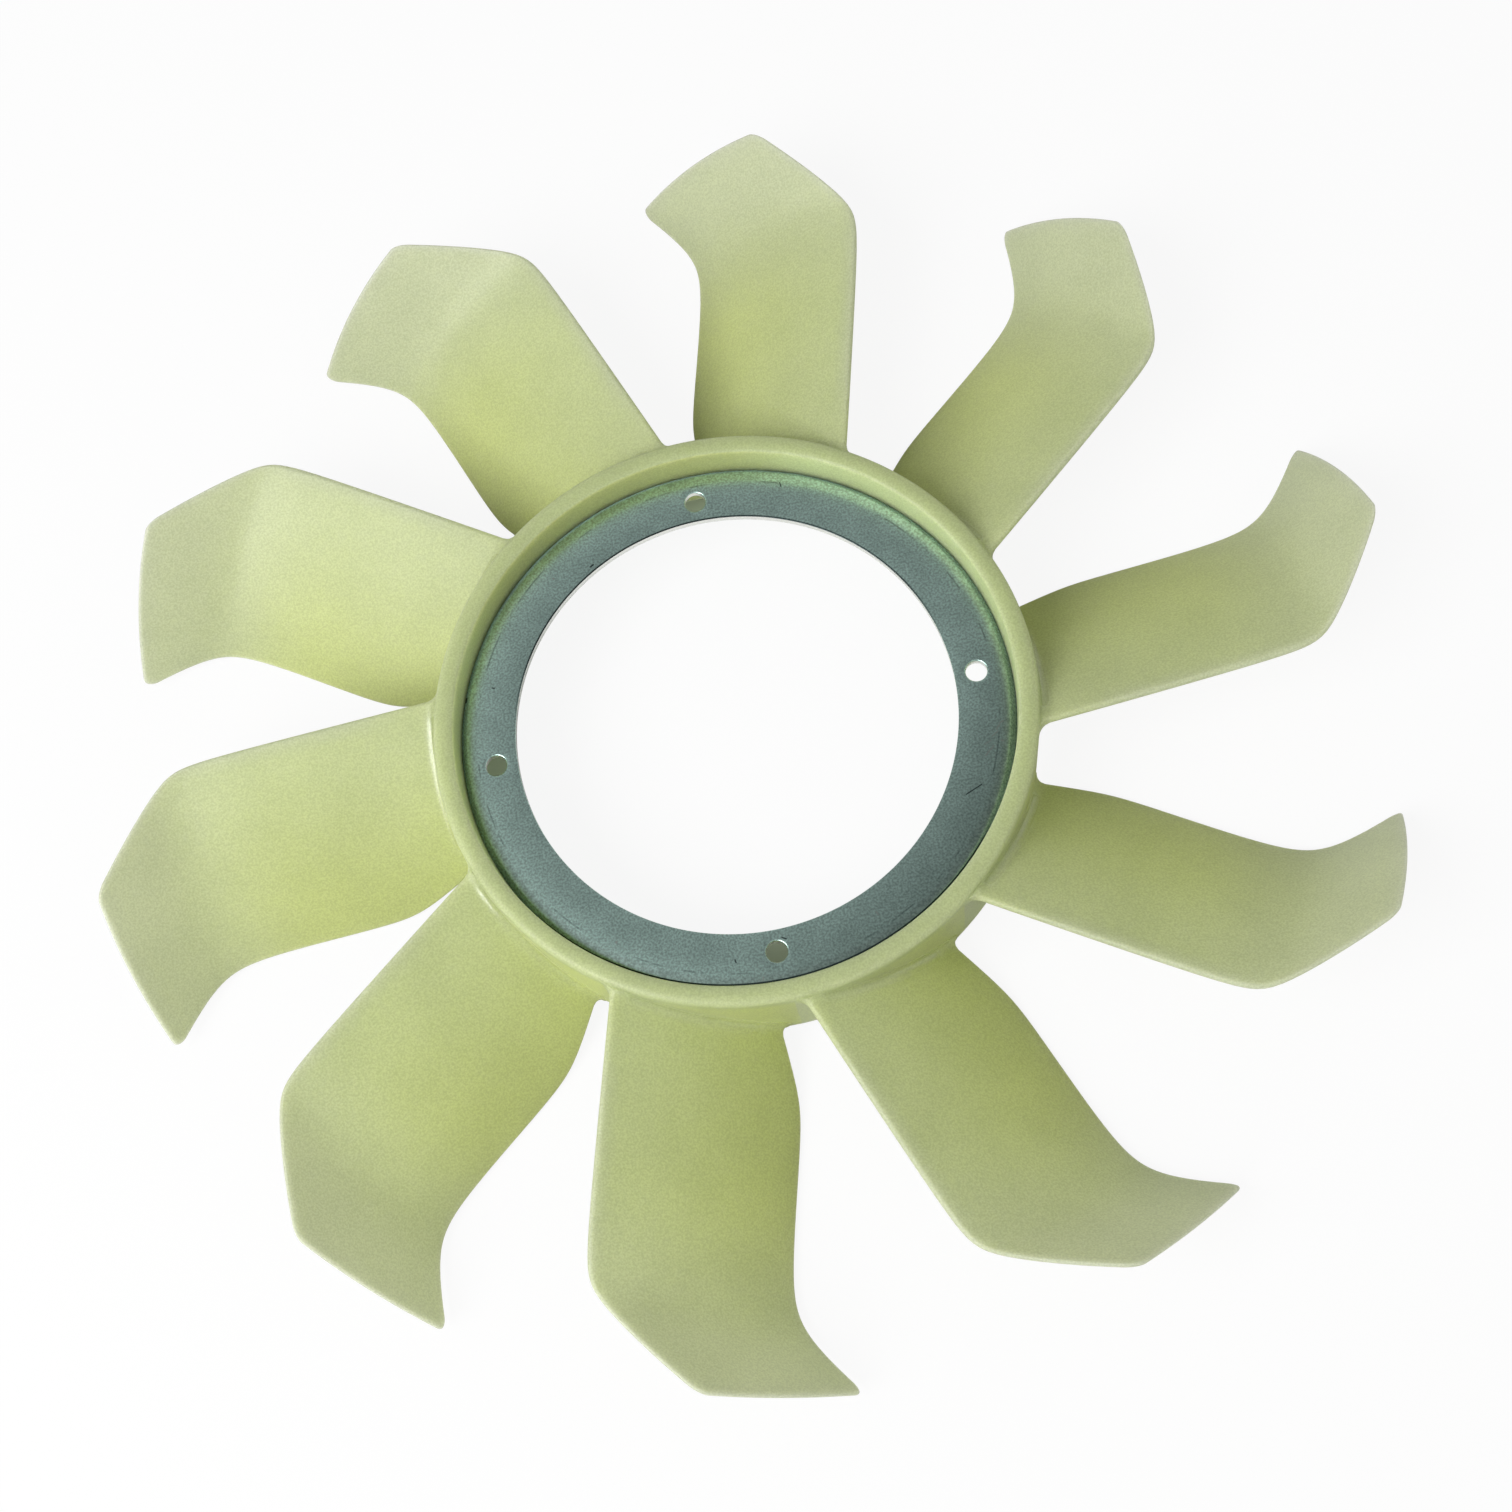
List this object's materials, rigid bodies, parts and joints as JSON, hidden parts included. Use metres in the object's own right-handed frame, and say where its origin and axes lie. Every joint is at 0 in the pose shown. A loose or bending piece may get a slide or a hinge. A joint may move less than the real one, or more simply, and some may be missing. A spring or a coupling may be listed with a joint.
{
  "type": "engine cooling fan",
  "caption": "Axial cooling fan: hooked, pitched blades moulded with a rimmed hub ring round a stepped steel mounting ring with bolt holes and a wide centre opening.",
  "frame": {"origin": "centre of the bolt circle on the front face of the steel mounting ring", "axes": "+Z along the fan's axis, out of the front face, towards the rim of the hub; +X through the centre of one bolt hole"},
  "size_m": [0.4004, 0.403, 0.0431],
  "materials": {
    "moulding": "translucent yellow-green moulding with a satin face",
    "ring": "dull zinc-plated sheet with fine mottling"
  },
  "bodies": {
    "root": {"fan_moulding": "moulding", "mounting_ring": "ring"}
  },
  "joints": []
}
